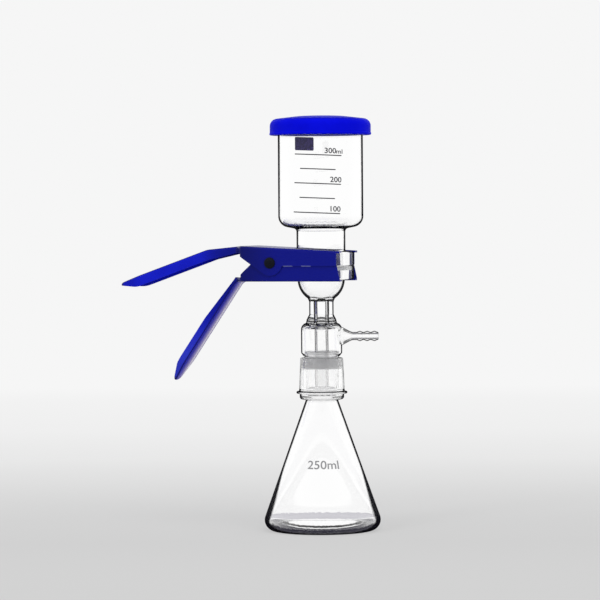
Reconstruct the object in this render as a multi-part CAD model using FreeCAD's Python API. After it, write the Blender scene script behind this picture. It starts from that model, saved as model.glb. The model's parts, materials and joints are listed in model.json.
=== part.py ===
import FreeCAD, Part
import math
import os

os.makedirs("parts", exist_ok=True)

V = FreeCAD.Vector

# Vacuum filtration unit: flask below, glass base with its frit in the flask's ground socket,
# funnel on the base's ground flange, a spring clamp round both flanges and a cap on the funnel.
# Millimetres, +Z up. The origin is the centre of the flask's foot. The clamp lies along X with
# its handles towards -X, and its hinge pin lies along Y.

# Roundings that many pieces share, from a ground edge to a blown curve
EDGE_ROUND = 0.4
CRISP_ROUND = 0.8
SOFT_ROUND = 2.2

# Flask
FLASK_BODY_R = 50.0
HEEL_R = 9.4
CONE_SLOPE = 0.3548
FOOT_HOLLOW = 2.4
FOOT_RING_R = 37.0
FOOT_RISE_RUN = 2.5
FOOT_RISE_ROUND = 4.0
FLASK_WALL = 1.9
FLASK_FLOOR = 3.2
FLOOR_DIP_INNER_R = 33.5
FLOOR_DIP_OUTER_R = 38.5
FLOOR_DIP_ROUND = 6.0
NECK_Z = 113.2
THROAT_RISE = 1.2
BEAD_R = 19.1
BEAD_HEIGHT = 5.0
RING_R = 21.9
RING_THICK = 2.0
RING_ROUND = 0.9
SOCKET_FOOT_R = 19.7
SOCKET_MOUTH_R = 18.45
MOUTH_Z = 148.9
SOCKET_DEPTH = 32.0

# Ground joint, a 1:10 taper that the flask's socket and the base's cone share
JOINT_MOUTH_R = 14.75
JOINT_TAPER = 0.05

# Glass base
CONE_WALL = 1.9
CONE_LENGTH = 28.5
CONE_SHOULDER = 0.6
PINCH_RISE = 1.6
PINCH_R = 15.6
COLLAR_RISE = 5.6
COLLAR_GROOVE = 2.0
ADAPTER_R = 17.7
ADAPTER_WALL = 1.7
ADAPTER_HEIGHT = 28.5
ADAPTER_HEEL = 2.6
ADAPTER_CROWN = 1.6
SHOULDER_R = 6.0
SEAL_R = 12.7
SEAL_FOOT_R = 13.3
SEAL_HEIGHT = 3.0
SEAL_RISE = 4.2
STEM_R = 10.5
STEM_BORE_R = 4.5
STEM_FLARE_R = 12.4
STEM_FLARE_RISE = 0.9
STEM_FLARE_DROP = 3.2
STEM_FLARE_ROUND = 3.4
DRIP_TUBE_R = 5.8
DRIP_TUBE_END_Z = 124.0
BULB_R = 20.3
BULB_WALL = 1.8
BULB_CENTRE_Z = 216.6

# Ground flanges and the frit between them
FLANGE_R = 28.4
FLANGE_ROUND = 1.6
FLANGE_THICK = 12.0
MEET_Z = 228.2
FRIT_LEDGE = 1.7
FRIT_THICK = 4.0

# Hose arm
ARM_TURN_DEG = 15.0
ARM_Z = 167.4
ARM_REACH = 49.0
ARM_ROOT_REACH = 12.0
ARM_SWELL_REACH = 19.0
ARM_NECK_REACH = 26.0
ARM_ROOT_R = 10.6
ARM_SWELL_R = 7.2
ARM_TUBE_R = 3.5
ARM_BORE_R = 1.9
ARM_WALL = 1.5
ARM_SWELL_ROUND = 9.0
ARM_NECK_ROUND = 6.0
RIPPLE_COUNT = 3
RIPPLE_PITCH = 6.2
RIPPLE_HALF = 2.6
RIPPLE_HEIGHT = 1.15
ARM_TIP_RUN = 3.6
ARM_TIP_ROUND = 0.6

# Funnel
CUP_R = 36.55
CUP_WALL = 1.7
CUP_TOP_Z = 351.0
CUP_FLOOR_Z = 263.0
CUP_FLOOR_DROP = 3.2
CUP_CORNER_R = 9.4
NECK_R = 21.0
NECK_BORE_R = 19.0
NECK_FILLET = 2.0
NECK_TOP_ROUND = 2.8

# Lid
LID_GROOVE = 2.2
LID_SKIRT_WALL = 1.9
LID_SKIRT_BOTTOM_Z = 340.3
LID_SIDE_TOP_Z = 353.8
LID_CROWN_Z = 357.2
LID_CROWN_R = 19.5
LID_CROWN_DIP = 0.6
LID_CROWN_ROUND = 90.0
LID_ROOF = 2.0
LID_SHOULDER_R = 6.4
LID_LIP = 0.35
LID_LIP_HEIGHT = 1.8
LID_LIP_ROUND = 0.5
LID_COLLAR_WALL = 2.4
LID_COLLAR_GAP = 0.35
LID_SEAT_INSET = 2.6
LID_GROOVE_ROOF = 4.4

# Clamp
SHEET = 1.2
FLANGE_GAP = 0.6
NEST_GAP = 0.2
GRIP_TILT_DEG = 3.1
SLOT_CLEARANCE = 0.3
UPPER_MOUTH_X = 24.3
UPPER_WALL_END_X = 21.6
UPPER_LIP = 1.9
LOWER_MOUTH_X = 24.3
LOWER_WALL_END_X = 21.2
JAW_CORNER_R = 1.0
WALL_ROOT_X = -63.8
SHOULDER_X = -71.5
HANDLE_HALF = 14.5
BODY_CORNER_R = 5.0
HANDLE_ROOT_R = 7.0
PIVOT_REACH = 8.6
PIVOT_Z = 231.0
LOBE_R = 11.0
UPPER_WALL_EDGE_Z = 228.3
LOWER_WALL_EDGE_Z = 230.4
WALL_CORNER_R = 4.0
V_GAP = 15.6
V_MIDDLE_Z = 228.8
EDGE_ROLL = 1.9
UPPER_ROOT_RIM = 6.2
UPPER_RIM = 8.8
UPPER_TIP_RIM = 1.8
LOWER_ROOT_RIM = 3.6
LOWER_RIM = 5.8
LOWER_TIP_RIM = 1.6
TIP_TAPER = 16.0
LOWER_RIM_RUN = 45.0
RIM_ROUND = 20.0
TIP_LENGTH = 20.0
TIP_HALF = 6.5
TIP_ROUND = 8.0
TIP_SIDE_ROUND = 20.0
UPPER_ROOT_X = -64.8
UPPER_ROOT_DROP_DEG = 5.6
UPPER_KINK_X = -98.6
UPPER_HANDLE_DROP_DEG = 19.7
UPPER_TIP_X = -180.6
LOWER_BEND_X = -72.3
LOWER_HANDLE_DROP_DEG = 56.2
LOWER_HANDLE_LENGTH = 104.5
LOWER_BEND_R = 9.0
UPPER_BEND_R = 14.0

# Hinge
PIN_R = 3.0
PIN_CLEARANCE = 0.05
PIN_HEAD_R = 4.8
PIN_HEAD_DOME = 1.9
PIN_HEAD_STEP = 0.85
PIN_HEAD_FLAT_R = 2.1
PIN_HEAD_ROUND = 3.0
PIN_HEAD_GAP = 0.1
WIRE_R = 0.9
COIL_R = 5.0
COIL_TURNS = 5
COIL_PITCH = 2.1
SPRING_LEG_X = -59.0

# Levels and radii that follow from the sizes above
BASE_FLANGE_Z = MEET_Z - FLANGE_THICK
FUNNEL_FLANGE_Z = MEET_Z + FLANGE_THICK
PINCH_Z = MOUTH_Z + PINCH_RISE
ADAPTER_TOP_Z = PINCH_Z + ADAPTER_HEIGHT
SEAL_Z = ADAPTER_TOP_Z + SEAL_HEIGHT
CONE_END_Z = PINCH_Z - CONE_LENGTH
COLLAR_TOP_Z = MOUTH_Z + COLLAR_RISE
FRIT_Z = MEET_Z - FRIT_THICK
FRIT_R = BULB_R - BULB_WALL + FRIT_LEDGE
SLOT_HALF = max(NECK_R + NECK_FILLET, BULB_R) + SLOT_CLEARANCE
LID_R = CUP_R + LID_COLLAR_GAP + LID_COLLAR_WALL + LID_GROOVE + LID_SKIRT_WALL
PIVOT_X = -FLANGE_R - PIVOT_REACH
LOWER_INNER = FLANGE_R + FLANGE_GAP
LOWER_HALF_WIDTH = LOWER_INNER + SHEET
UPPER_INNER = LOWER_HALF_WIDTH + NEST_GAP
UPPER_HALF_WIDTH = UPPER_INNER + SHEET

# Working sizes of cutting blocks: larger than the whole unit, well past an end, and just past one
BLOCK_HEIGHT = 400.0
OVERLAP = 30.0
PAST = 1.0

# Two points nearer than this count as touching, and a run shorter than this is left out
CLOSE = 0.001
TINY = 0.000001


def flat(a, b):
    """A point of a side view: a is the distance out or along X, b is the height."""
    return V(a, 0, b)


def plan(a, b):
    """A point of a plan view."""
    return V(a, b, 0)


def outline(corners, place=flat):
    """Closed wire through corners (a, b, radius): straight runs joined by tangent arcs."""
    points = [place(a, b) for a, b, radius in corners]
    count = len(corners)
    runs = []
    arcs = []
    for i in range(count):
        here = points[i]
        back = (points[i - 1] - here).normalize()
        ahead = (points[(i + 1) % count] - here).normalize()
        radius = corners[i][2]
        if radius == 0:
            runs.append((here, here))
            arcs.append(None)
            continue
        half = back.getAngle(ahead) / 2
        reach = radius / math.tan(half)
        middle = here + (back + ahead).normalize() * (radius / math.sin(half) - radius)
        runs.append((here + back * reach, here + ahead * reach))
        arcs.append(Part.Arc(runs[i][0], middle, runs[i][1]).toShape())
    edges = []
    for i in range(count):
        start = runs[i - 1][1]
        end = runs[i][0]
        if start.distanceToPoint(end) > TINY:
            edges.append(Part.LineSegment(start, end).toShape())
        if arcs[i]:
            edges.append(arcs[i])
    return Part.Wire(edges)


def turned(corners):
    """Solid of revolution about the Z axis."""
    return Part.Face(outline(corners)).revolve(V(0, 0, 0), V(0, 0, 1), 360)


def ball(radius, z):
    return Part.makeSphere(radius, V(0, 0, z))


def disc(radius, z_low, z_high):
    return Part.makeCylinder(radius, z_high - z_low, V(0, 0, z_low))


def joint_r(z):
    """Radius of the ground joint's contact surface at a height."""
    return JOINT_MOUTH_R + JOINT_TAPER * (z - MOUTH_Z)


def make_flask():
    """Conical flask, blown in one piece with its bead, ring and ground socket."""
    foot_r = FLASK_BODY_R + HEEL_R * ((1 + CONE_SLOPE ** 2) ** 0.5 + CONE_SLOPE - 1)
    neck_r = foot_r - CONE_SLOPE * NECK_Z
    wall_out = FLASK_WALL * (1 + CONE_SLOPE ** 2) ** 0.5
    ring_z = NECK_Z + BEAD_HEIGHT
    socket_foot_z = MOUTH_Z - SOCKET_DEPTH
    outside = turned([
        (0, FOOT_HOLLOW, 0),
        (FOOT_RING_R - FOOT_RISE_RUN, FOOT_HOLLOW, FOOT_RISE_ROUND),
        (FOOT_RING_R, 0, SOFT_ROUND),
        (foot_r, 0, HEEL_R),
        (neck_r, NECK_Z, CRISP_ROUND),
        (BEAD_R, NECK_Z, SOFT_ROUND),
        (BEAD_R, ring_z, EDGE_ROUND),
        (RING_R, ring_z, RING_ROUND),
        (RING_R, ring_z + RING_THICK, RING_ROUND),
        (SOCKET_FOOT_R, ring_z + RING_THICK, CRISP_ROUND),
        (SOCKET_MOUTH_R, MOUTH_Z, CRISP_ROUND),
        (0, MOUTH_Z, 0),
    ])
    inner_foot_r = foot_r - wall_out - CONE_SLOPE * FLASK_FLOOR
    inner_neck_r = neck_r - wall_out
    inside = turned([
        (0, FOOT_HOLLOW + FLASK_FLOOR, 0),
        (FLOOR_DIP_INNER_R, FOOT_HOLLOW + FLASK_FLOOR, FLOOR_DIP_ROUND),
        (FLOOR_DIP_OUTER_R, FLASK_FLOOR, FOOT_RISE_ROUND),
        (inner_foot_r, FLASK_FLOOR, HEEL_R - FLASK_WALL),
        (inner_neck_r, NECK_Z, SOFT_ROUND),
        (inner_neck_r, NECK_Z + THROAT_RISE, CRISP_ROUND),
        (joint_r(socket_foot_z), socket_foot_z, 0),
        (joint_r(MOUTH_Z), MOUTH_Z, 0),
        (joint_r(MOUTH_Z), MOUTH_Z + PAST, 0),
        (0, MOUTH_Z + PAST, 0),
    ])
    return outside.cut(inside)


def along_arm(corners):
    """Solid of revolution about the hose arm's axis, from corners (radius, reach, rounding)."""
    solid = turned(corners)
    solid.rotate(V(0, 0, 0), V(0, 1, 0), 90)
    solid.translate(V(0, 0, ARM_Z))
    return solid


def make_arm():
    """Hose arm pointing along +X: a trumpet out of the adapter's wall, then the rippled end."""
    corners = [
        (0, ARM_ROOT_REACH, 0),
        (ARM_ROOT_R, ARM_ROOT_REACH, 0),
        (ARM_SWELL_R, ARM_SWELL_REACH, ARM_SWELL_ROUND),
        (ARM_TUBE_R, ARM_NECK_REACH, ARM_NECK_ROUND),
    ]
    first = ARM_REACH - ARM_TIP_RUN - RIPPLE_PITCH * (RIPPLE_COUNT - 1)
    for i in range(RIPPLE_COUNT):
        crest = first + RIPPLE_PITCH * i
        last = i == RIPPLE_COUNT - 1
        corners.append((ARM_TUBE_R, crest - RIPPLE_HALF, SOFT_ROUND))
        corners.append((ARM_TUBE_R + RIPPLE_HEIGHT, crest, SOFT_ROUND))
        corners.append((ARM_TUBE_R, crest + RIPPLE_HALF, 0 if last else SOFT_ROUND))
    corners.append((ARM_TUBE_R - ARM_TIP_ROUND / 2, ARM_REACH, ARM_TIP_ROUND))
    corners.append((0, ARM_REACH, 0))
    return along_arm(corners)


def make_arm_bore():
    return along_arm([
        (0, ARM_ROOT_REACH, 0),
        (ARM_ROOT_R - ARM_WALL, ARM_ROOT_REACH, 0),
        (ARM_SWELL_R - ARM_WALL, ARM_SWELL_REACH, ARM_SWELL_ROUND),
        (ARM_BORE_R, ARM_NECK_REACH, ARM_NECK_ROUND),
        (ARM_BORE_R, ARM_REACH + PAST, 0),
        (0, ARM_REACH + PAST, 0),
    ])


def turn_arm(base):
    """The base turned so that its hose arm points to its own side."""
    base.rotate(V(0, 0, 0), V(0, 0, 1), ARM_TURN_DEG)
    return base


def make_glass_base():
    """Fused glass base: flange, bulb, stem, ring seal, adapter with hose arm, and ground cone."""
    flange = turned([
        (0, BASE_FLANGE_Z, 0),
        (FLANGE_R, BASE_FLANGE_Z, FLANGE_ROUND),
        (FLANGE_R, MEET_Z, CRISP_ROUND),
        (0, MEET_Z, 0),
    ])
    flare_z = BULB_CENTRE_Z - (BULB_R ** 2 - STEM_FLARE_R ** 2) ** 0.5 + STEM_FLARE_RISE
    cone_top_z = PINCH_Z - CONE_SHOULDER
    column = turned([
        (0, flare_z, 0),
        (STEM_FLARE_R, flare_z, 0),
        (STEM_R, flare_z - STEM_FLARE_RISE - STEM_FLARE_DROP, STEM_FLARE_ROUND),
        (STEM_R, SEAL_Z + SEAL_RISE, SOFT_ROUND),
        (SEAL_R, SEAL_Z, CRISP_ROUND),
        (SEAL_FOOT_R, ADAPTER_TOP_Z, EDGE_ROUND),
        (ADAPTER_R, ADAPTER_TOP_Z - ADAPTER_CROWN, SHOULDER_R),
        (ADAPTER_R, PINCH_Z + ADAPTER_HEEL, SOFT_ROUND),
        (PINCH_R, PINCH_Z, EDGE_ROUND),
        (joint_r(cone_top_z), cone_top_z, 0),
        (joint_r(CONE_END_Z), CONE_END_Z, CRISP_ROUND),
        (0, CONE_END_Z, 0),
    ])
    lower_half = disc(BULB_R + PAST, BULB_CENTRE_Z - BULB_R - PAST, BULB_CENTRE_Z)
    bulb = ball(BULB_R, BULB_CENTRE_Z).common(lower_half)
    solid = flange.fuse([bulb, column, make_arm()]).removeSplitter()

    seat = disc(FRIT_R, FRIT_Z, MEET_Z + PAST)
    bulb_inner_r = BULB_R - BULB_WALL
    well = disc(bulb_inner_r, BULB_CENTRE_Z, FRIT_Z + PAST).fuse(ball(bulb_inner_r, BULB_CENTRE_Z))
    bore = disc(STEM_BORE_R, DRIP_TUBE_END_Z - PAST, BULB_CENTRE_Z)
    drain = seat.fuse([well, bore])

    inner_r = ADAPTER_R - ADAPTER_WALL
    chamber_top_z = ADAPTER_TOP_Z - ADAPTER_WALL
    collar_r = joint_r(COLLAR_TOP_Z)
    groove_z = COLLAR_TOP_Z - COLLAR_GROOVE
    chamber = turned([
        (DRIP_TUBE_R, DRIP_TUBE_END_Z, 0),
        (0, DRIP_TUBE_END_Z, 0),
        (0, CONE_END_Z - PAST, 0),
        (joint_r(CONE_END_Z) - CONE_WALL, CONE_END_Z - PAST, 0),
        (collar_r - CONE_WALL, COLLAR_TOP_Z, EDGE_ROUND),
        (collar_r, COLLAR_TOP_Z, EDGE_ROUND),
        (collar_r, groove_z, EDGE_ROUND),
        (inner_r, groove_z, EDGE_ROUND),
        (inner_r, chamber_top_z - ADAPTER_CROWN, SHOULDER_R - ADAPTER_WALL),
        (DRIP_TUBE_R, chamber_top_z, CRISP_ROUND),
    ])
    return turn_arm(solid.cut([drain, chamber, make_arm_bore()]))


def make_frit_disc():
    """Sintered glass support, flush with the ground face it is sealed into."""
    return disc(FRIT_R, FRIT_Z, MEET_Z)


def make_funnel():
    """Graduated funnel: cup, neck and ground flange blown in one piece."""
    floor_low = CUP_FLOOR_Z - CUP_FLOOR_DROP
    outside = turned([
        (0, MEET_Z, 0),
        (FLANGE_R, MEET_Z, CRISP_ROUND),
        (FLANGE_R, FUNNEL_FLANGE_Z, FLANGE_ROUND),
        (NECK_R, FUNNEL_FLANGE_Z, NECK_FILLET),
        (NECK_R, floor_low, NECK_TOP_ROUND),
        (CUP_R, CUP_FLOOR_Z, CUP_CORNER_R),
        (CUP_R, CUP_TOP_Z, CRISP_ROUND),
        (0, CUP_TOP_Z, 0),
    ])
    inner_r = CUP_R - CUP_WALL
    inside = turned([
        (0, MEET_Z - PAST, 0),
        (NECK_BORE_R, MEET_Z - PAST, 0),
        (NECK_BORE_R, floor_low + CUP_WALL, NECK_TOP_ROUND),
        (inner_r, CUP_FLOOR_Z + CUP_WALL, CUP_CORNER_R - CUP_WALL),
        (inner_r, CUP_TOP_Z + PAST, 0),
        (0, CUP_TOP_Z + PAST, 0),
    ])
    return outside.cut(inside)


def make_lid():
    """Moulded cap: domed roof, outer skirt with a lip, and an inner collar round the cup's rim."""
    lip_r = LID_R + LID_LIP
    lip_z = LID_SKIRT_BOTTOM_Z + LID_LIP_HEIGHT
    outside = turned([
        (0, LID_SKIRT_BOTTOM_Z, 0),
        (lip_r, LID_SKIRT_BOTTOM_Z, CRISP_ROUND),
        (lip_r, lip_z, LID_LIP_ROUND),
        (LID_R, lip_z + LID_LIP, LID_LIP_ROUND),
        (LID_R, LID_SIDE_TOP_Z, LID_SHOULDER_R),
        (LID_CROWN_R, LID_CROWN_Z - LID_CROWN_DIP, LID_CROWN_ROUND),
        (0, LID_CROWN_Z, 0),
    ])
    skirt_in = LID_R - LID_SKIRT_WALL
    collar_in = CUP_R + LID_COLLAR_GAP
    collar_out = collar_in + LID_COLLAR_WALL
    groove_top = LID_SIDE_TOP_Z - LID_GROOVE_ROOF
    groove = turned([
        (collar_out, LID_SKIRT_BOTTOM_Z - PAST, 0),
        (skirt_in, LID_SKIRT_BOTTOM_Z - PAST, 0),
        (skirt_in, groove_top, CRISP_ROUND),
        (collar_out, groove_top, CRISP_ROUND),
    ])
    seat_in = CUP_R - LID_SEAT_INSET
    hollow = turned([
        (0, LID_SKIRT_BOTTOM_Z - PAST, 0),
        (collar_in, LID_SKIRT_BOTTOM_Z - PAST, 0),
        (collar_in, CUP_TOP_Z, 0),
        (seat_in, CUP_TOP_Z, EDGE_ROUND),
        (seat_in, LID_SIDE_TOP_Z - LID_ROOF, EDGE_ROUND),
        (0, LID_CROWN_Z - LID_ROOF, 0),
    ])
    return outside.cut([groove, hollow])


def lobe(reach):
    """Round of the ears about the hinge axis."""
    return Part.makeCylinder(LOBE_R, 2 * reach, V(PIVOT_X, -reach, PIVOT_Z), V(0, 1, 0))


def across(face_wire, half_width):
    """Side view outline pulled out sideways to both sides of the middle plane."""
    slab = Part.Face(face_wire).extrude(V(0, 2 * half_width, 0))
    slab.translate(V(0, -half_width, 0))
    return slab


def mitred(corners, side, depth):
    """Corner points of a run of lines, each moved sideways by a depth: side +1 is to its right."""
    points = [V(a, b, 0) for a, b in corners]
    normals = []
    for start, end in zip(points, points[1:]):
        run = (end - start).normalize()
        normals.append(V(side * run.y, -side * run.x, 0))
    moved = []
    for i, point in enumerate(points):
        before = normals[max(i - 1, 0)]
        after = normals[min(i, len(normals) - 1)]
        shift = (before + after) * (depth / (1 + before.dot(after)))
        moved.append((point.x + shift.x, point.y + shift.y))
    return moved


def onward(start, end, reach):
    """The point that lies past an end by a reach, on the line from a start."""
    run = V(end[0] - start[0], end[1] - start[1], 0).normalize()
    return end[0] + run.x * reach, end[1] + run.y * reach


def body_block(half_width, inset):
    """Upright block over a half: the wide body and the handle, joined by the shoulders."""
    corners = [
        (OVERLAP, half_width),
        (WALL_ROOT_X, half_width),
        (SHOULDER_X, HANDLE_HALF),
        (-BLOCK_HEIGHT, HANDLE_HALF),
    ]
    radii = [0, BODY_CORNER_R - inset, HANDLE_ROOT_R + inset, 0]
    side = [(a, b, radius) for (a, b), radius in zip(mitred(corners, -1, inset), radii)]
    mirrored = [(a, -b, radius) for a, b, radius in reversed(side)]
    return Part.Face(outline(side + mirrored, plan)).extrude(V(0, 0, BLOCK_HEIGHT))


def end_trim(ridge, inset):
    """Block that trims a handle's square end to a rounded point, square to the handle."""
    run = [
        (TIP_LENGTH + OVERLAP, -HANDLE_HALF),
        (TIP_LENGTH, -HANDLE_HALF),
        (0, -TIP_HALF),
        (0, TIP_HALF),
        (TIP_LENGTH, HANDLE_HALF),
        (TIP_LENGTH + OVERLAP, HANDLE_HALF),
    ]
    side = TIP_SIDE_ROUND - inset
    tip = TIP_ROUND - inset
    corners = [(a, b, radius) for (a, b), radius in zip(mitred(run, 1, inset), [0, side, tip, tip, side, 0])]
    grip = HANDLE_HALF - inset
    kept = Part.Face(outline(corners, plan)).extrude(V(0, 0, 2 * OVERLAP))
    block = Part.makeBox(2 * OVERLAP + TIP_LENGTH, 2 * grip, 2 * OVERLAP, V(-OVERLAP, -grip, 0))
    block = block.cut(kept)
    (tip_x, tip_z) = ridge[-1]
    (root_x, root_z) = ridge[-2]
    drop = math.degrees(math.atan2(root_z - tip_z, root_x - tip_x))
    block.translate(V(0, 0, -OVERLAP))
    block.rotate(V(0, 0, 0), V(0, 1, 0), -drop)
    block.translate(V(tip_x, 0, tip_z))
    return block


def tub(ridge, bends, side, half_width, inset):
    """All that lies on the walls' side of the sheet's outer face, moved in by an inset.

    The folds are rounded. side is +1 where the walls stand above the sheet and -1 where they
    hang below it."""
    mouth = onward(ridge[1], ridge[0], OVERLAP)
    tail = onward(ridge[-2], ridge[-1], OVERLAP)
    line = mitred([mouth] + ridge[1:-1] + [tail], side, inset)
    corners = [(line[0][0], line[0][1], 0)]
    for (x, z), radius in zip(line[1:-1], bends):
        corners.append((x, z, radius + side * inset))
    corners.append((line[-1][0], line[-1][1], 0))
    corners.append((line[-1][0], line[-1][1] + side * BLOCK_HEIGHT, 0))
    corners.append((line[0][0], line[0][1] + side * BLOCK_HEIGHT, 0))
    edges = outline(corners).Edges
    form = across(Part.Wire(edges), half_width + OVERLAP)
    form = form.common(body_block(half_width, inset)).cut(end_trim(ridge, inset))
    skin = Part.Wire(edges[1:-2]).extrude(V(0, 2 * (half_width + OVERLAP), 0))
    skin.translate(V(0, -half_width - OVERLAP, 0))
    folds = []
    for edge in form.Edges:
        middle = Part.Vertex(edge.valueAt((edge.FirstParameter + edge.LastParameter) / 2))
        on_skin = max(spot.distToShape(skin)[0] for spot in [middle, edge.Vertexes[0]]) < CLOSE
        crosswise = abs(edge.Length - edge.BoundBox.YLength) < CLOSE
        if on_skin and not crosswise:
            folds.append(edge)
    return form.makeFillet(EDGE_ROLL - inset, folds)


def fork_slot(z_low):
    """Open slot that lets a jaw pass the neck's foot or the bulb, from a height upwards."""
    slot = Part.makeBox(BLOCK_HEIGHT, 2 * SLOT_HALF, BLOCK_HEIGHT, V(0, -SLOT_HALF, z_low))
    return slot.fuse(Part.makeCylinder(SLOT_HALF, BLOCK_HEIGHT, V(0, 0, z_low)))


def pin_hole(clearance):
    reach = UPPER_HALF_WIDTH + PAST
    return Part.makeCylinder(PIN_R + clearance, 2 * reach, V(PIVOT_X, -reach, PIVOT_Z), V(0, 1, 0))


def tangent_foot(x, z, side):
    """Where a line from (x, z) touches the ear's circle, on its lower (-1) or upper (+1) side."""
    span = math.hypot(x - PIVOT_X, z - PIVOT_Z)
    base = math.atan2(z - PIVOT_Z, x - PIVOT_X)
    swing = math.acos(LOBE_R / span)
    angle = base - side * swing
    return PIVOT_X + LOBE_R * math.cos(angle), PIVOT_Z + LOBE_R * math.sin(angle)


def upper_plate_top(x):
    """Height of the upper jaw plate's top face, which leans back from where it grips the flange."""
    lean = math.radians(GRIP_TILT_DEG)
    flat_r = FLANGE_R - FLANGE_ROUND
    touch_x = (flat_r ** 2 - SLOT_HALF ** 2) ** 0.5
    return FUNNEL_FLANGE_Z + SHEET / math.cos(lean) + math.tan(lean) * (touch_x - x)


def folded_half(ridge, bends, side, rim, half_width):
    """One half of the clamp in folded sheet.

    ridge runs along the sheet's outer face from the jaw's mouth to the handle's tip, and rim
    runs back along the free edge of the walls."""
    loose = mitred(ridge, -side, OVERLAP)
    beyond = onward(loose[-2], loose[-1], OVERLAP)
    profile = [(x, z, 0) for x, z in loose[:-1]] + [(beyond[0], beyond[1], 0)] + rim
    walls = across(outline(profile), half_width + OVERLAP).fuse(lobe(half_width + OVERLAP))
    mouth_x = ridge[0][0]
    front = [
        (mouth_x, half_width, JAW_CORNER_R),
        (-BLOCK_HEIGHT, half_width, 0),
        (-BLOCK_HEIGHT, -half_width, 0),
        (mouth_x, -half_width, JAW_CORNER_R),
    ]
    blank = Part.Face(outline(front, plan)).extrude(V(0, 0, BLOCK_HEIGHT))
    shell = tub(ridge, bends, side, half_width, 0).cut(tub(ridge, bends, side, half_width, SHEET))
    return shell.common(walls).common(blank)


def tip_corners(ridge, side, tip_rim, full_rim):
    """Free edge at a handle's tip: past its end, and where the rim has grown to its full depth."""
    low = mitred(ridge, side, tip_rim)
    past = onward(low[-2], low[-1], OVERLAP)
    high = mitred(ridge, side, full_rim)
    grown = onward(high[-2], high[-1], -TIP_TAPER)
    return [(past[0], past[1], 0), (low[-1][0], low[-1][1], 0), (grown[0], grown[1], TIP_TAPER)]


def make_clamp_upper():
    """Upper half of the clamp: forked jaw plate, side walls with ears, and a gutter handle."""
    root_z = upper_plate_top(UPPER_ROOT_X)
    kink_z = root_z - math.tan(math.radians(UPPER_ROOT_DROP_DEG)) * (UPPER_ROOT_X - UPPER_KINK_X)
    tip_z = kink_z - math.tan(math.radians(UPPER_HANDLE_DROP_DEG)) * (UPPER_KINK_X - UPPER_TIP_X)
    ridge = [
        (UPPER_MOUTH_X, upper_plate_top(UPPER_MOUTH_X)),
        (UPPER_ROOT_X, root_z),
        (UPPER_KINK_X, kink_z),
        (UPPER_TIP_X, tip_z),
    ]
    v_z = V_MIDDLE_Z + V_GAP / 2
    ear_x, ear_z = tangent_foot(WALL_ROOT_X, v_z, -1)
    kink_x, kink_rim_z = mitred(ridge, -1, UPPER_RIM)[2]
    root_rim_z = root_z - UPPER_ROOT_RIM
    lip_z = upper_plate_top(UPPER_WALL_END_X) - UPPER_LIP
    rim = tip_corners(ridge, -1, UPPER_TIP_RIM, UPPER_RIM) + [
        (kink_x, kink_rim_z, UPPER_BEND_R),
        (SHOULDER_X, root_rim_z, SOFT_ROUND),
        (WALL_ROOT_X, root_rim_z, EDGE_ROUND),
        (WALL_ROOT_X, v_z, 0),
        (ear_x, ear_z, 0),
        (PIVOT_X, UPPER_WALL_EDGE_Z, 0),
        (UPPER_WALL_END_X, UPPER_WALL_EDGE_Z, CRISP_ROUND),
        (UPPER_WALL_END_X, lip_z, EDGE_ROUND),
        (UPPER_MOUTH_X, lip_z, 0),
    ]
    half = folded_half(ridge, [UPPER_BEND_R] * 2, -1, rim, UPPER_HALF_WIDTH)
    return half.cut([fork_slot(MEET_Z), pin_hole(PIN_CLEARANCE)])


def make_clamp_lower():
    """Lower half: the same folded sheet nested inside the upper one, its handle bent steeply down."""
    plate_under = BASE_FLANGE_Z - SHEET
    drop = math.radians(LOWER_HANDLE_DROP_DEG)
    tip_x = LOWER_BEND_X - LOWER_HANDLE_LENGTH * math.cos(drop)
    tip_z = plate_under - LOWER_HANDLE_LENGTH * math.sin(drop)
    ridge = [(LOWER_MOUTH_X, plate_under), (LOWER_BEND_X, plate_under), (tip_x, tip_z)]
    v_z = V_MIDDLE_Z - V_GAP / 2
    ear_x, ear_z = tangent_foot(WALL_ROOT_X, v_z, 1)
    high = mitred(ridge, 1, LOWER_RIM)
    full_x, full_z = onward(high[-1], high[-2], -LOWER_RIM_RUN)
    rim = tip_corners(ridge, 1, LOWER_TIP_RIM, LOWER_RIM) + [
        (full_x, full_z, RIM_ROUND),
        (LOWER_BEND_X, plate_under + LOWER_ROOT_RIM, CRISP_ROUND),
        (WALL_ROOT_X, plate_under + LOWER_ROOT_RIM, EDGE_ROUND),
        (WALL_ROOT_X, v_z, 0),
        (ear_x, ear_z, 0),
        (PIVOT_X, LOWER_WALL_EDGE_Z, 0),
        (LOWER_WALL_END_X, LOWER_WALL_EDGE_Z, WALL_CORNER_R),
        (LOWER_MOUTH_X, BASE_FLANGE_Z, 0),
    ]
    half = folded_half(ridge, [LOWER_BEND_R], 1, rim, LOWER_HALF_WIDTH)
    return half.cut([fork_slot(MEET_Z - BLOCK_HEIGHT), pin_hole(0)])


def make_pivot_pin():
    """Rivet through the four ears, with a domed head outside each upper wall."""
    head_y = UPPER_HALF_WIDTH + PIN_HEAD_GAP
    one_end = [
        (PIN_R, head_y, 0),
        (PIN_HEAD_R, head_y, EDGE_ROUND),
        (PIN_HEAD_R, head_y + PIN_HEAD_STEP, CRISP_ROUND),
        (PIN_HEAD_FLAT_R, head_y + PIN_HEAD_DOME, PIN_HEAD_ROUND),
        (0, head_y + PIN_HEAD_DOME, 0),
    ]
    other_end = [(a, -b, radius) for a, b, radius in reversed(one_end)]
    pin = turned(one_end + other_end)
    pin.rotate(V(0, 0, 0), V(1, 0, 0), 90)
    pin.translate(V(PIVOT_X, 0, PIVOT_Z))
    return pin


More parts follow.
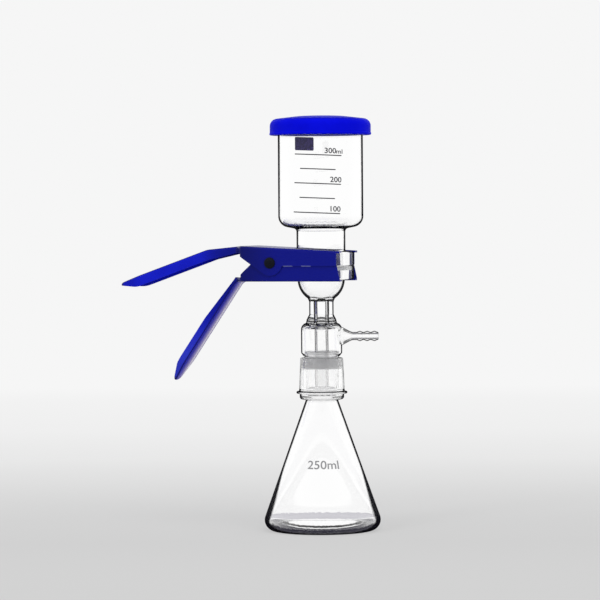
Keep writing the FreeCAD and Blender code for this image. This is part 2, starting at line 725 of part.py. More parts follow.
def make_torsion_spring():
    """Coil round the pin whose two legs push the handles apart.

    Each half turn is a half circle tilted by a quarter of the pitch, so the turns join smoothly."""
    lean = math.radians(GRIP_TILT_DEG)
    plate_under = upper_plate_top(SPRING_LEG_X) - SHEET / math.cos(lean)
    low_end = V(SPRING_LEG_X - PIVOT_X, 0, BASE_FLANGE_Z + WIRE_R - PIVOT_Z)
    high_end = V(SPRING_LEG_X - PIVOT_X, 0, plate_under - WIRE_R / math.cos(lean) - PIVOT_Z)
    turn_r = math.hypot(COIL_R, COIL_PITCH / 4)
    start_angle = math.atan2(low_end.z, low_end.x) + math.acos(COIL_R / low_end.Length)
    stop_angle = math.atan2(high_end.z, high_end.x) - math.acos(COIL_R / high_end.Length)
    y = -COIL_TURNS * COIL_PITCH / 2 - COIL_PITCH / 8
    angle = start_angle
    edges = []

    def swing(middle, spoke, tangent, turn):
        return middle + spoke * (turn_r * math.cos(turn)) + tangent * (turn_r * math.sin(turn))

    spots = [V(COIL_R * math.cos(angle), y, COIL_R * math.sin(angle))]
    turns = [math.pi] * (2 * COIL_TURNS) + [(stop_angle - start_angle) % (2 * math.pi)]
    for turn in turns:
        middle = V(0, y + COIL_PITCH / 4, 0)
        spoke = (spots[-1] - middle).normalize()
        tangent = V(-math.sin(angle), 0, math.cos(angle))
        halfway = swing(middle, spoke, tangent, turn / 2)
        end = swing(middle, spoke, tangent, turn)
        edges.append(Part.Arc(spots[-1], halfway, end).toShape())
        spots.append(end)
        leaving = tangent * math.cos(turn) - spoke * math.sin(turn)
        angle += math.pi
        y += COIL_PITCH / 2
    low_y = spots[0].y
    low_tip = V(low_end.x, low_y, low_end.z)
    leg_run = math.hypot(high_end.x - spots[-1].x, high_end.z - spots[-1].z)
    high_tip = spots[-1] + leaving * leg_run
    edges.insert(0, Part.LineSegment(low_tip, spots[0]).toShape())
    edges.append(Part.LineSegment(spots[-1], high_tip).toShape())
    path = Part.Wire(edges)
    ring = Part.Wire(Part.Circle(low_tip, spots[0] - low_tip, WIRE_R).toShape())
    spring = path.makePipeShell([ring], True, True)
    spring.translate(V(PIVOT_X, 0, PIVOT_Z))
    return spring


parts = {
    "flask": make_flask(),
    "glass_base": make_glass_base(),
    "frit_disc": make_frit_disc(),
    "funnel": make_funnel(),
    "lid": make_lid(),
    "clamp_upper": make_clamp_upper(),
    "clamp_lower": make_clamp_lower(),
    "pivot_pin": make_pivot_pin(),
    "torsion_spring": make_torsion_spring(),
}
for name, shape in parts.items():
    shape.Solids[0].exportStep("parts/%s.step" % name)
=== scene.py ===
import json
import math

import bmesh
import bpy
from mathutils import Matrix, Vector
from mathutils.bvhtree import BVHTree

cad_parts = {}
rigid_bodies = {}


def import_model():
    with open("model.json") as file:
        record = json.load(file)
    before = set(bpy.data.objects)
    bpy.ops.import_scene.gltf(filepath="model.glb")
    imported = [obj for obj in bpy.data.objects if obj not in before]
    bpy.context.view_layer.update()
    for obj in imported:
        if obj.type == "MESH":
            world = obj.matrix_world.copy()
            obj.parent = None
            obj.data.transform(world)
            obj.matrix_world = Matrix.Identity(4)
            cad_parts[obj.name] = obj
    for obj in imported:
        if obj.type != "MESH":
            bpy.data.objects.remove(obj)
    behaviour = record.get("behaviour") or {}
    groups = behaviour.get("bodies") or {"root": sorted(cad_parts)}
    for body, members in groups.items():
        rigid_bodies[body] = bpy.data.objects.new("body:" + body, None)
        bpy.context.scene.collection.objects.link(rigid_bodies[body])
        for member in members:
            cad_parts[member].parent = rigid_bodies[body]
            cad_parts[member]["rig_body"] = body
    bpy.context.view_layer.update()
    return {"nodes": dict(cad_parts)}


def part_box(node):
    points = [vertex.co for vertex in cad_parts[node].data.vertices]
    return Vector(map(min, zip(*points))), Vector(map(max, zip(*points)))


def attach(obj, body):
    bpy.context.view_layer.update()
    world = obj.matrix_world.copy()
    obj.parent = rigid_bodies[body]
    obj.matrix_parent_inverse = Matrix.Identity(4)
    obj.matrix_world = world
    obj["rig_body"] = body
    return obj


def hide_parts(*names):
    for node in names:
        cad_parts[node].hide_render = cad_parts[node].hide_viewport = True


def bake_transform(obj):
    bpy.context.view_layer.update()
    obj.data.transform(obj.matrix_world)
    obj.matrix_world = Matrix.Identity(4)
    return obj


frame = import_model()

MM = 0.001
WHITE = (1.0, 1.0, 1.0, 1.0)

# The record's body that the prints are fixed to, and the spring between the bodies
BODY = "stack"
SPRING = "torsion_spring"

# Where the parts meet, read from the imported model
FOOT_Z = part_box("flask")[0].z
MOUTH_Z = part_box("flask")[1].z
CUP_TOP_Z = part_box("funnel")[1].z
CUP_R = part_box("funnel")[1].x
FLANGE_MEET_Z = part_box("funnel")[0].z

# Shading: an edge that turns more than this stays sharp, and large faces lead by this weight
SHARP_TURN = math.radians(42.0)
FACE_WEIGHT = 90

# Where two pieces share a level face: how near to it a point counts as on it, and how far it moves
ON_FACE = 0.01 * MM
FLANGE_LIFT = 0.02 * MM
RIM_DROP = 0.03 * MM

# Ground joint: its mouth, its taper and its depth, how near to its slope a point counts as on it, and
# how far the cone stands off. Then where glass is ground: heights from the mouth, and outer radii
JOINT_MOUTH_R = 0.01475
JOINT_TAPER = 0.05
JOINT_DEPTH = 0.032
JOINT_SKIN = 0.35 * MM
JOINT_FACE = 0.06 * MM
JOINT_GAP = 0.03 * MM
GROUND_BELOW = 0.0094
SOCKET_GROUND_R = 15.6 * MM
CONE_GROUND_R = 15.4 * MM
CONE_GROUND_ABOVE = 5.8 * MM
FLANGE_GROUND_R = 0.03

# Painted shade on the glass: dark outlines in place of the dark surroundings that glass refracts at
# its edges. Each vessel has two heights and the outlines' widths there. Then the stem and drip tube,
# the hose arm, the flask's floor and the painted dark ring at the socket's foot
FLASK_LINES = (0.01, 0.06, 4.8 * MM, 1.6 * MM)
BASE_LINES = (0.2, 0.203, 1.15 * MM, 2.1 * MM)
FUNNEL_LINES = (FLANGE_MEET_Z, CUP_TOP_Z, 1.5 * MM, 1.75 * MM)
PAINTED_OUTLINE_TONE = (0.004, 0.0038, 0.007, 1.0)
PAINTED_OUTLINE_STRENGTH = 0.985
STEM_REACH_R = 9.5 * MM
TUBE_TOP_Z = 0.179
TUBE_LINE = 0.72
ARM_FROM_R = 0.019
ARM_LOW_Z = 0.156
ARM_HIGH_Z = 0.178
ARM_TUBE_R = 0.0034
ARM_LINE = 0.66
ARM_FAINT = 0.2
FLASK_FLOOR_R = 0.0355
FLASK_FLOOR_Z = 0.0075
RING_TOP_Z = 0.1222
RING_Z = 0.1202
RING_FROM_R = 0.0172

# Clamp: where the handles begin, how far the painted shade runs on the jaws and rims and where the
# lower rim is painted lighter, how crowned the handles are, the height that the lower one stays under,
# and the two painted glints on the seam
HANDLE_ROOT_X = -0.0705
ROOT_SHADE_RUN = 45 * MM
RIM_ROOT_SHADE = (-0.115, -0.078)
RIM_PAINTED_LIGHT = (0.148, 0.19)
CROWN = 30.0
LOWER_HANDLE_Z = 0.212
GLINT_X = 0.0132
GLINT_APART = 0.0080
GLINT_HALF = 0.0036

# Prints: lengths along the glass, from the middle of the cup's scale and of the flask's number. They
# stand a hair off the glass and are cut into strips, so that they follow it. A stroke is a volume, a
# height and a shift to the right, and its corners are a share of half its thickness
INK = 0.03 * MM
STRIP = 0.0005
CUP_PRINT_TURN = math.radians(-78.6)
CUP_STROKES = [
    (300, 0.3228, 0.0), (250, 0.3107, -0.0002), (200, 0.2984, -0.0006), (150, 0.2861, -0.0009),
    (100, 0.2735, -0.0016),
]
LONG_STROKE = 0.0424
SHORT_STROKE = 0.0316
STROKE_THICK = 0.0009
STROKE_CORNER = 0.99
PRINT_SLOPE = 0.042
DIGIT_SIZE = 0.0064
UNIT_SIZE = 0.0052
UNIT_WIDTH = 0.0062
BOLD = 0.017
LABEL_RISE = 0.0017
DIGIT_WIDEN = 1.1
UNIT_WIDEN = 1.25
UNIT_OUT = 0.0008
LABEL_OUT = 0.0003
PANEL_LEFT = -0.0208
PANEL_RIGHT = -0.0034
PANEL_LOW = 0.0032
PANEL_HIGH = 0.0145
PANEL_CORNER = 0.0008
FLASK_CONE_R = 0.0539
FLASK_CONE_SLOPE = 0.3548
FLASK_PRINT_TURN = math.radians(-75.0)
FLASK_PRINT_Z = 0.0556
FLASK_DIGIT_SIZE = 0.0099
FLASK_WIDEN = 1.17
FLASK_BOLD = 0.011
FLASK_PRINT_RIGHT = 0.0154

# Camera: a long lens in front, turned a little to the right from square on to the clamp
VIEW_DEG = 15.0
VIEW_DISTANCE = 2.7
VIEW_HEIGHT = 0.27
AIM_HEIGHT = 0.1987
AIM_LEFT = 0.01835
VIEW_WIDTH = 0.516
SENSOR = 36.0
ROLL_DEG = -0.38

# Studio: the backdrop's grey level, the light from all round, the floor's grey levels against the
# distance behind the unit, its size and drop, and the height that the lamps aim at
BACKDROP = 246
STUDIO_LIGHT = (0.72, 0.72, 0.72, 1.0)
FLOOR_TONES = [
    (-0.1, 208), (0.1, 212), (0.3, 218), (0.52, 225), (0.65, 228), (0.79, 232),
    (0.94, 234), (1.28, 239), (1.93, 242), (2.3, 246),
]
FLOOR_SIZE = 14.0
FLOOR_DROP = 0.02 * MM
AIM_LAMPS_Z = 0.2

# Rings of painted shade on the floor that only glass shows, a shadow under the heel and a grey ring:
# the radii where each fades in and out
HEEL_SHADOW_RING = (0.029, 0.032, 0.049, 0.056)
HEEL_SHADOW_TONE = (0.012, 0.01, 0.025, 1.0)
GREY_SHADE_RING = (0.064, 0.07, 0.115, 0.121)
GREY_SHADE_STRENGTH = 0.75


class Tree:
    """Short ways to add nodes to one node tree. A number or a socket may be given as an input."""

    def __init__(self, owner):
        owner.use_nodes = True
        self.nodes = owner.node_tree.nodes
        self.links = owner.node_tree.links
        self.nodes.clear()

    def add(self, kind, inputs=(), **settings):
        node = self.nodes.new(kind)
        for name, value in settings.items():
            setattr(node, name, value)
        for name, value in dict(inputs).items():
            if isinstance(value, bpy.types.NodeSocket):
                self.links.new(value, node.inputs[name])
            else:
                node.inputs[name].default_value = value
        return node

    def math(self, operation, a, b=0.0):
        return self.add("ShaderNodeMath", {0: a, 1: b}, operation=operation).outputs[0]

    def either(self, a, b):
        return self.math("MAXIMUM", a, b)

    def both(self, a, b):
        return self.math("MULTIPLY", a, b)

    def without(self, share):
        """What is left of 1."""
        return self.math("SUBTRACT", 1.0, share)

    def away(self, a, b):
        """Distance between two values."""
        return self.math("ABSOLUTE", self.math("SUBTRACT", a, b))

    def object_spot(self):
        return self.add("ShaderNodeTexCoord").outputs["Object"]

    def smooth(self, value, low, high, start=0.0, end=1.0):
        """Goes from start to end, smoothly, as value goes from low to high."""
        inputs = {"Value": value, "From Min": low, "From Max": high, "To Min": start, "To Max": end}
        node = self.add("ShaderNodeMapRange", inputs, interpolation_type="SMOOTHSTEP", clamp=True)
        return node.outputs["Result"]

    def mix(self, factor, a, b):
        node = self.add("ShaderNodeMix", data_type="RGBA")
        for socket, value in zip([node.inputs[0], node.inputs[6], node.inputs[7]], [factor, a, b]):
            if isinstance(value, bpy.types.NodeSocket):
                self.links.new(value, socket)
            else:
                socket.default_value = value
        return node.outputs[2]

    def ramp(self, value, stops):
        """Colour that goes through stops (position, colour) as value goes from 0 to 1."""
        node = self.add("ShaderNodeValToRGB", {"Fac": value})
        points = node.color_ramp.elements
        points[0].position = stops[0][0]
        points[1].position = stops[-1][0]
        for position, _ in stops[1:-1]:
            points.new(position)
        for point, (position, tone) in zip(points, stops):
            point.color = tone
        return node.outputs["Color"]

    def noise(self, vector, scale, detail=2.0, roughness=0.5):
        inputs = {"Vector": vector, "Scale": scale, "Detail": detail, "Roughness": roughness}
        return self.add("ShaderNodeTexNoise", inputs).outputs["Fac"]

    def stretched(self, vector, scale):
        return self.add("ShaderNodeMapping", {"Vector": vector, "Scale": scale}).outputs["Vector"]

    def bump(self, height, strength, distance, normal=None):
        inputs = {"Height": height, "Strength": strength, "Distance": distance}
        if normal:
            inputs["Normal"] = normal
        return self.add("ShaderNodeBump", inputs).outputs["Normal"]


def grey(level):
    """Linear value of an 8-bit grey level."""
    share = level / 255
    return ((share + 0.055) / 1.055) ** 2.4 if share > 0.04045 else share / 12.92


def colour(red, green, blue):
    return (grey(red), grey(green), grey(blue), 1.0)


def new_material(name):
    material = bpy.data.materials.new(name)
    return material, Tree(material)


def finish_surface(tree, inputs):
    shader = tree.add("ShaderNodeBsdfPrincipled", inputs)
    tree.add("ShaderNodeOutputMaterial", {"Surface": shader.outputs[0]})


# ---- Materials ----

def from_axis(tree, spot):
    """Distance from the glass axis, and height."""
    x, y, z = tree.add("ShaderNodeSeparateXYZ", {"Vector": spot}).outputs
    squares = tree.math("ADD", tree.both(x, x), tree.both(y, y))
    return tree.math("SQRT", squares), z


def along_arm(tree, radius, z):
    """1 on the hose arm, which has an axis of its own, and 0 elsewhere."""
    off_axis = tree.math("GREATER_THAN", radius, ARM_FROM_R)
    low = tree.math("GREATER_THAN", z, ARM_LOW_Z)
    high = tree.math("LESS_THAN", z, ARM_HIGH_Z)
    return tree.both(off_axis, tree.both(low, high))


def rim_shade(tree, radius, on_arm, line):
    """How far a spot lies in the painted dark line along clear glass's outlines, in place of refracted
    dark.

    The line is equally wide on wide and narrow vessels, and the hose arm has its own radius."""
    arm_share = tree.math("DIVIDE", line, ARM_TUBE_R / ARM_LINE)
    share = tree.math("MINIMUM", tree.math("DIVIDE", line, tree.either(radius, MM)), 0.5)
    share = tree.math("ADD", share, tree.both(on_arm, tree.math("SUBTRACT", arm_share, share)))
    limit = tree.math("SQRT", tree.both(share, tree.math("SUBTRACT", 2.0, share)))
    facing = tree.add("ShaderNodeLayerWeight", {"Blend": 0.5}).outputs["Facing"]
    return tree.smooth(tree.math("DIVIDE", tree.without(facing), limit), 0.85, 1.1, 1.0, 0.0)


def ground_band(tree, radius, z, low, high, within_r):
    """1 where the glass is ground: between two heights, inside a radius."""
    above = tree.smooth(z, low - 0.9 * MM, low + 0.9 * MM)
    below = tree.smooth(z, high - 0.3 * MM, high + 0.3 * MM, 1.0, 0.0)
    within = tree.smooth(radius, within_r - 0.2 * MM, within_r + 0.2 * MM, 1.0, 0.0)
    return tree.both(tree.both(above, below), within)


def joint_zone(tree, radius, z):
    """Two shares: 1 at the joint's heights, and 1 on its fitted faces."""
    in_reach = tree.math("GREATER_THAN", z, MOUTH_Z - JOINT_DEPTH - MM)
    in_reach = tree.both(in_reach, tree.math("LESS_THAN", z, MOUTH_Z))
    joint_r = tree.math("ADD", tree.both(z, JOINT_TAPER), JOINT_MOUTH_R - JOINT_TAPER * MOUTH_Z)
    fitted = tree.math("LESS_THAN", tree.away(radius, joint_r), JOINT_SKIN)
    return in_reach, tree.both(fitted, in_reach)


def outline_shade(tree, radius, z, lines, inner_r, clear):
    """How dark a spot is with painted shade: outlines, fainter where clear says so, and a dark ring at
    the socket's foot.

    Only the first surface shows outlines, apart from the hose arm and what lies inside inner_r,
    which show them through other glass too. They are thinner on the drip tube."""
    inside = tree.math("LESS_THAN", radius, inner_r)
    on_tube = tree.both(inside, tree.math("LESS_THAN", z, TUBE_TOP_Z))
    thinner = tree.without(tree.both(on_tube, 1.0 - TUBE_LINE))
    line = tree.both(tree.smooth(z, *lines), thinner)
    on_arm = along_arm(tree, radius, z)
    first = tree.add("ShaderNodeLightPath").outputs["Is Camera Ray"]
    seen = tree.either(first, tree.either(on_arm, inside))
    shade = tree.both(rim_shade(tree, radius, on_arm, line), tree.without(clear))
    shade = tree.both(shade, seen)
    shade = tree.both(shade, tree.without(tree.both(on_arm, ARM_FAINT)))
    # Painted shade: a dark band at the height of the thick ring at the socket's foot
    ring = tree.smooth(tree.away(z, RING_Z), 0.35 * MM, 0.75 * MM, 0.85, 0.0)
    ring = tree.both(ring, tree.math("GREATER_THAN", radius, RING_FROM_R))
    return tree.either(shade, tree.both(ring, first))


def clear_glass(name, lines, ground_low, ground_high, ground_r, inner_r=0.0, plain_r=0.0, plain_z=0.0):
    """Borosilicate glass with painted dark outlines, and a ground band between two heights inside a
    radius.

    lines: two heights, and the outlines' widths at and beyond each.
    The wetted lower part of the ground joint is only hazy. Outlines are faint at its heights and on
    ground glass, and inside plain_r and below plain_z there are none."""
    material, tree = new_material(name)
    spot = tree.object_spot()
    radius, z = from_axis(tree, spot)
    ground = ground_band(tree, radius, z, ground_low, ground_high, ground_r)
    in_reach, hazy = joint_zone(tree, radius, z)
    grit = tree.noise(spot, 2600.0, 3.0)
    waviness = tree.noise(tree.stretched(spot, (1.0, 1.0, 0.35)), 60.0, 1.0)
    haze = tree.noise(spot, 35.0, 3.0)
    roughness = tree.smooth(haze, 0.45, 0.8, 0.0, 0.02)
    roughness = tree.math("ADD", roughness, tree.both(hazy, 0.08))
    roughness = tree.math("ADD", roughness, tree.both(ground, 0.4))
    gentle = tree.bump(waviness, 0.04, 0.4 * MM)
    plain = tree.both(tree.math("LESS_THAN", radius, plain_r), tree.math("LESS_THAN", z, plain_z))
    soft = tree.both(in_reach, tree.math("GREATER_THAN", z, RING_TOP_Z))
    clear = tree.either(tree.either(plain, tree.both(ground, 0.65)), tree.both(soft, 0.7))
    shade = outline_shade(tree, radius, z, lines, inner_r, clear)
    inputs = {
        "Base Color": tree.mix(ground, WHITE, (0.97, 0.97, 0.98, 1.0)),
        "Roughness": roughness,
        "IOR": 1.473,
        "Transmission Weight": tree.without(tree.both(ground, 0.2)),
        "Normal": tree.bump(grit, tree.both(ground, 0.5), 0.02 * MM, gentle),
    }
    glass = tree.add("ShaderNodeBsdfPrincipled", inputs)
    # Painted shade: the outlines mix in this near-black diffuse
    dark = tree.add("ShaderNodeBsdfDiffuse", {"Color": PAINTED_OUTLINE_TONE})
    shaders = {0: tree.both(shade, PAINTED_OUTLINE_STRENGTH), 1: glass.outputs[0], 2: dark.outputs[0]}
    surface = tree.add("ShaderNodeMixShader", shaders)
    tree.add("ShaderNodeOutputMaterial", {"Surface": surface.outputs[0]})
    return material


def sintered_glass():
    material, tree = new_material("sintered_glass")
    spot = tree.object_spot()
    grains = tree.add("ShaderNodeTexVoronoi", {"Vector": spot, "Scale": 2200.0}).outputs["Distance"]
    fines = tree.noise(spot, 5000.0, 2.0)
    inputs = {
        "Base Color": tree.mix(grains, (0.86, 0.87, 0.88, 1.0), (0.7, 0.71, 0.73, 1.0)),
        "Roughness": tree.smooth(fines, 0.3, 0.7, 0.75, 0.95),
        "Normal": tree.bump(grains, 0.6, 0.08 * MM),
    }
    finish_surface(tree, inputs)
    return material


def blue_plastic():
    """Moulded polypropylene cap: fine orange peel, faint rubbing marks, and painted shade on the
    crown.
    """
    material, tree = new_material("blue_plastic")
    spot = tree.object_spot()
    peel = tree.noise(spot, 900.0, 2.0)
    clouds = tree.noise(spot, 40.0, 3.0)
    rubbed = tree.noise(tree.stretched(spot, (1.0, 1.0, 9.0)), 180.0, 4.0)
    face = tree.add("ShaderNodeNewGeometry").outputs["Normal"]
    up = tree.add("ShaderNodeSeparateXYZ", {"Vector": face}).outputs["Z"]
    tint = tree.mix(tree.smooth(clouds, 0.35, 0.65), colour(7, 12, 208), colour(9, 15, 218))
    inputs = {
        # Painted shade: upward-facing surfaces are mixed towards a darker blue
        "Base Color": tree.mix(tree.smooth(up, 0.7, 0.93, 0.0, 0.4), tint, colour(4, 8, 118)),
        "Roughness": tree.smooth(rubbed, 0.58, 0.72, 0.45, 0.57),
        "IOR": 1.49,
        "Specular IOR Level": 0.01,
        "Normal": tree.bump(peel, 0.12, 0.05 * MM),
    }
    finish_surface(tree, inputs)
    return material


def crowned_normal(tree, face, y, on_handle):
    """Normal of a handle that is gently crowned across."""
    sideways = tree.both(tree.both(y, on_handle), CROWN)
    lean = tree.add("ShaderNodeCombineXYZ", {"Y": sideways}).outputs["Vector"]
    leaning = tree.add("ShaderNodeVectorMath", {0: face, 1: lean}, operation="ADD").outputs["Vector"]
    return tree.add("ShaderNodeVectorMath", {0: leaning}, operation="NORMALIZE").outputs["Vector"]


def handle_tint(tree, x, z, face, crowned, clouds):
    """Painted light and shade: rims lighter towards the tips, a dark crease, a violet and pale sheen
    on the lower back.
    """
    across = tree.add("ShaderNodeSeparateXYZ", {"Vector": face}).outputs["Y"]
    near = tree.both(across, -1.0)
    rim = tree.mix(tree.smooth(clouds, 0.3, 0.7), colour(14, 24, 186), colour(18, 30, 204))
    # Painted shade darkens the rims towards the handles' root, and painted light pales the lower rim's
    # tip
    rim = tree.mix(tree.smooth(x, *RIM_ROOT_SHADE, 0.0, 0.75), rim, colour(10, 18, 106))
    rim = tree.mix(tree.smooth(z, *RIM_PAINTED_LIGHT, 0.85, 0.0), rim, colour(50, 60, 196))
    # Painted sheen: violet, then pale, where the lower back's crowned normal is seen at a grazing
    # angle
    grazing = tree.add("ShaderNodeLayerWeight", {"Blend": 0.5, "Normal": crowned}).outputs["Facing"]
    sheen = [(0.58, colour(24, 26, 178)), (0.86, colour(112, 92, 200)), (0.995, colour(246, 238, 255))]
    back = tree.ramp(grazing, sheen)
    back = tree.mix(tree.smooth(z, LOWER_HANDLE_Z, LOWER_HANDLE_Z + 5 * MM), back, colour(15, 23, 180))
    on_rim = tree.either(tree.smooth(near, 0.3, 0.75), tree.smooth(across, 0.85, 0.98))
    # Painted shade along the crease between rim and back
    fold = tree.both(tree.smooth(near, 0.12, 0.35), tree.smooth(near, 0.65, 0.9, 1.0, 0.0))
    return tree.mix(fold, tree.mix(on_rim, back, rim), colour(20, 22, 116))


def worn_seam(tree, x, z):
    """1 on the two short places along the seam where a pale glint is painted on the lower half's edge.
    """
    on_edge = tree.smooth(tree.away(z, FLANGE_MEET_Z), 0.2 * MM, 0.5 * MM, 1.0, 0.0)
    from_middle = tree.math("ABSOLUTE", tree.math("ADD", x, GLINT_X))
    along = tree.away(from_middle, GLINT_APART)
    return tree.both(on_edge, tree.smooth(along, GLINT_HALF, GLINT_HALF + MM, 1.0, 0.0))


def blue_anodised():
    """Dyed, sealed anodising over rolled sheet, grain along it; painted lighter on the handles, darker
    at their root.

    The handles are gently crowned across, and the lower one's back has a painted sheen at one edge.
    Painted glints mark the seam between the jaws in two places."""
    material, tree = new_material("blue_anodised")
    spot = tree.object_spot()
    x, y, z = tree.add("ShaderNodeSeparateXYZ", {"Vector": spot}).outputs
    face = tree.add("ShaderNodeNewGeometry").outputs["Normal"]
    on_handle = tree.smooth(x, HANDLE_ROOT_X - 2 * MM, HANDLE_ROOT_X + 2 * MM, 1.0, 0.0)
    crowned = crowned_normal(tree, face, y, on_handle)
    grain = tree.noise(tree.stretched(spot, (12.0, 220.0, 220.0)), 14.0, 4.0, 0.6)
    clouds = tree.noise(spot, 45.0, 3.0)
    scratches = tree.noise(tree.stretched(spot, (300.0, 60.0, 30.0)), 6.0, 2.0)
    # Painted shade: the body darkens from the jaws towards the handles' root, where the handles are
    # painted lighter
    towards_jaw = tree.smooth(x, HANDLE_ROOT_X, HANDLE_ROOT_X + ROOT_SHADE_RUN)
    body = tree.mix(towards_jaw, colour(11, 16, 94), colour(11, 19, 127))
    tint = tree.mix(on_handle, body, handle_tint(tree, x, z, face, crowned, clouds))
    tint = tree.mix(tree.smooth(scratches, 0.68, 0.78, 0.0, 0.12), tint, colour(60, 70, 170))
    inputs = {
        # Painted glints: pale dashes on the lower half's edge along the seam
        "Base Color": tree.mix(worn_seam(tree, x, z), tint, colour(112, 118, 172)),
        "Metallic": tree.smooth(on_handle, 0.0, 1.0, 0.0, 0.2),
        "Roughness": tree.smooth(grain, 0.3, 0.7, 0.26, 0.36),
        "Specular IOR Level": 0.1,
        "Normal": tree.bump(grain, 0.03, 0.02 * MM, crowned),
    }
    finish_surface(tree, inputs)
    return material


def dark_steel():
    material, tree = new_material("dark_steel")
    spot = tree.object_spot()
    speck = tree.noise(spot, 1200.0, 3.0)
    inputs = {
        "Base Color": tree.mix(speck, colour(12, 14, 22), colour(28, 31, 42)),
        "Metallic": 0.85,
        "Roughness": tree.smooth(speck, 0.3, 0.7, 0.32, 0.48),
        "Normal": tree.bump(speck, 0.15, 0.03 * MM),
    }
    finish_surface(tree, inputs)
    return material


def spring_steel():
    material, tree = new_material("spring_steel")
    spot = tree.object_spot()
    drawn = tree.noise(spot, 1500.0, 2.0)
    inputs = {
        "Base Color": tree.mix(drawn, colour(150, 152, 158), colour(196, 198, 204)),
        "Metallic": 1.0,
        "Roughness": tree.smooth(drawn, 0.3, 0.7, 0.2, 0.34),
        "Normal": tree.bump(drawn, 0.1, 0.02 * MM),
    }
    finish_surface(tree, inputs)
    return material


def enamel(name, tone, paler):
    """Fired-on print: thin and slightly uneven."""
    material, tree = new_material(name)
    spot = tree.object_spot()
    uneven = tree.noise(spot, 700.0, 3.0)
    inputs = {
        "Base Color": tree.mix(tree.smooth(uneven, 0.35, 0.7), tone, paler),
        "Roughness": tree.smooth(uneven, 0.3, 0.7, 0.4, 0.6),
    }
    finish_surface(tree, inputs)
    return material


# ---- Pieces ----

def link(piece):
    bpy.context.scene.collection.objects.link(piece)
    return piece


def smooth_copy(node, material, adjust=None):
    """A CAD node's mesh with its seams joined and shaded smooth, standing for the node.

    Large faces lead the shading, so that walls stay true beside their rounded edges. adjust moves
    each point a hair, where two pieces would share a face. The spring's copy is attached to no body."""
    source = frame["nodes"][node]
    mesh = source.data.copy()
    work = bmesh.new()
    work.from_mesh(mesh)
    bmesh.ops.remove_doubles(work, verts=work.verts, dist=1e-6)
    for face in work.faces:
        face.smooth = True
    for edge in work.edges:
        turn = edge.calc_face_angle(0.0) if edge.is_manifold else math.pi
        edge.smooth = turn < SHARP_TURN
    if adjust:
        for vertex in work.verts:
            vertex.co = adjust(vertex.co)
    work.to_mesh(mesh)
    work.free()
    mesh.materials.clear()
    mesh.materials.append(material)
    piece = link(bpy.data.objects.new(node + "_look", mesh))
    shading = piece.modifiers.new("shading", "WEIGHTED_NORMAL")
    shading.keep_sharp = True
    shading.weight = FACE_WEIGHT
    shaded = piece.evaluated_get(bpy.context.evaluated_depsgraph_get())
    piece.data = bpy.data.meshes.new_from_object(shaded)
    piece.modifiers.clear()
    if node == SPRING:
        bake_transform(piece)
    else:
        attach(piece, source["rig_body"])
    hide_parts(node)


def skin_of(node):
    """Function that finds the point just outside a node's glass at an azimuth and a height."""
    mesh = frame["nodes"][node].data
    points = [vertex.co for vertex in mesh.vertices]
    glass = BVHTree.FromPolygons(points, [face.vertices for face in mesh.polygons])

    def skin(azimuth, height):
        out = Vector((math.cos(azimuth), math.sin(azimuth), 0))
        spot, normal, _, _ = glass.ray_cast(out + Vector((0, 0, height)), -out)
        return spot + normal * INK

    return skin


def flat_mesh(name, rows):
    """Mesh of a grid of points, given row by row."""
    count = len(rows[0])
    points = [point for row in rows for point in row]
    faces = []
    for i in range(len(rows) - 1):
        for j in range(count - 1):
            low = i * count + j
            faces.append((low, low + 1, low + count + 1, low + count))
    mesh = bpy.data.meshes.new(name)
    mesh.from_pydata(points, [], faces)
    return mesh


def add_print(name, mesh, material):
    """A print is a piece of its own, fixed to the glass."""
    mesh.materials.clear()
    mesh.materials.append(material)
    piece = link(bpy.data.objects.new(name, mesh))
    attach(piece, BODY)


def bar_mesh(name, left, right, low, high, corner):
    """Flat rectangle with rounded corners, cut into narrow upright strips."""
    count = max(8, round((right - left) / STRIP))
    rows = [[], []]
    for i in range(count + 1):
        x = left + (right - left) * i / count
        near = corner - max(0.0, min(x - left, right - x, corner))
        cut = corner - math.sqrt(corner ** 2 - near ** 2)
        rows[0].append((x, low + cut, 0))
        rows[1].append((x, high - cut, 0))
    return flat_mesh(name, rows)


def text_mesh(name, words, size, widen, bold, right, low):
    """Flat lettering that ends at right and stands on low, cut into narrow upright strips.

    bold: how far the strokes are thickened, as a share of the size."""
    data = bpy.data.curves.new(name, "FONT")
    data.body = words
    data.size = size
    data.offset = bold * size
    data.align_x = "RIGHT"
    data.resolution_u = 6
    holder = link(bpy.data.objects.new(name, data))
    shaped = holder.evaluated_get(bpy.context.evaluated_depsgraph_get())
    mesh = bpy.data.meshes.new_from_object(shaped)
    bpy.data.objects.remove(holder)
    mesh.transform(Matrix.Translation((right, low, 0)) @ Matrix.Diagonal((widen, 1, 1, 1)))
    work = bmesh.new()
    work.from_mesh(mesh)
    first = min(vertex.co.x for vertex in work.verts)
    last = max(vertex.co.x for vertex in work.verts)
    for i in range(1, int((last - first) / STRIP) + 1):
        everything = work.verts[:] + work.edges[:] + work.faces[:]
        place = (first + i * STRIP, 0, 0)
        bmesh.ops.bisect_plane(work, geom=everything, plane_co=place, plane_no=(1, 0, 0))
    bmesh.ops.triangulate(work, faces=work.faces)
    work.to_mesh(mesh)
    work.free()
    return mesh


def print_on(skin, radius, turn, height, slope, mesh):
    """Wraps a flat print onto the glass: x is a length along it and y a length up from its middle."""
    for vertex in mesh.vertices:
        along, up, _ = vertex.co
        vertex.co = skin(turn + along / radius, height + up - slope * along)
    return mesh


